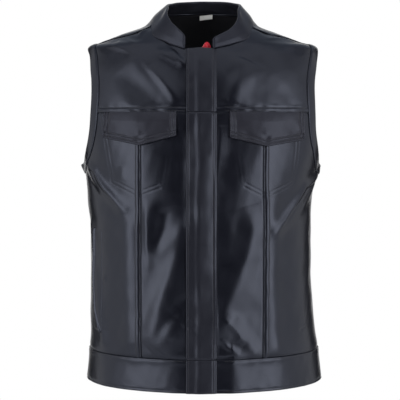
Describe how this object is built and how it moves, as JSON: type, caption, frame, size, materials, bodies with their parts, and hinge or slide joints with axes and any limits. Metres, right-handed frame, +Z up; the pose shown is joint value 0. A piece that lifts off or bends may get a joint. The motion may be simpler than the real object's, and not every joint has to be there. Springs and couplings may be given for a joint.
{
  "type": "leather biker vest",
  "caption": "Sleeveless black leather vest with a low stand collar, covered front zip, pointed chest pocket flaps, upright hand pockets and a wide hem band, filled out as worn.",
  "frame": {"origin": "between the shoulders on the vest's middle plane, at the height where they carry it", "axes": "+Z up towards the collar, -Y out of the front, +X to the wearer's left"},
  "size_m": [0.4375, 0.2581, 0.6839],
  "materials": {
    "leather": "smooth, soft sheen",
    "lining": "woven lining, dull",
    "tape": "woven zip tape, dull",
    "enamel": "glossy enamel",
    "label": "woven label, blank"
  },
  "bodies": {
    "root": {"armhole_band_left": "leather", "armhole_band_right": "leather", "back_panel": "leather", "collar": "leather", "front_panel_left": "leather", "front_panel_right": "leather", "hem_back": "leather", "hem_left": "leather", "hem_right": "leather", "placket_body": "leather", "placket_hem": "leather", "placket_yoke": "leather", "pocket_flap_left": "leather", "pocket_flap_right": "leather", "pocket_welt_left": "leather", "pocket_welt_right": "leather", "seam_strip_left": "leather", "seam_strip_right": "leather", "side_panel_left": "leather", "side_panel_right": "leather", "yoke_left": "leather", "yoke_right": "leather", "neck_lining": "lining", "size_label": "label", "zip_slider": "enamel", "zip_tape_left": "tape", "zip_tape_right": "tape"}
  },
  "joints": []
}
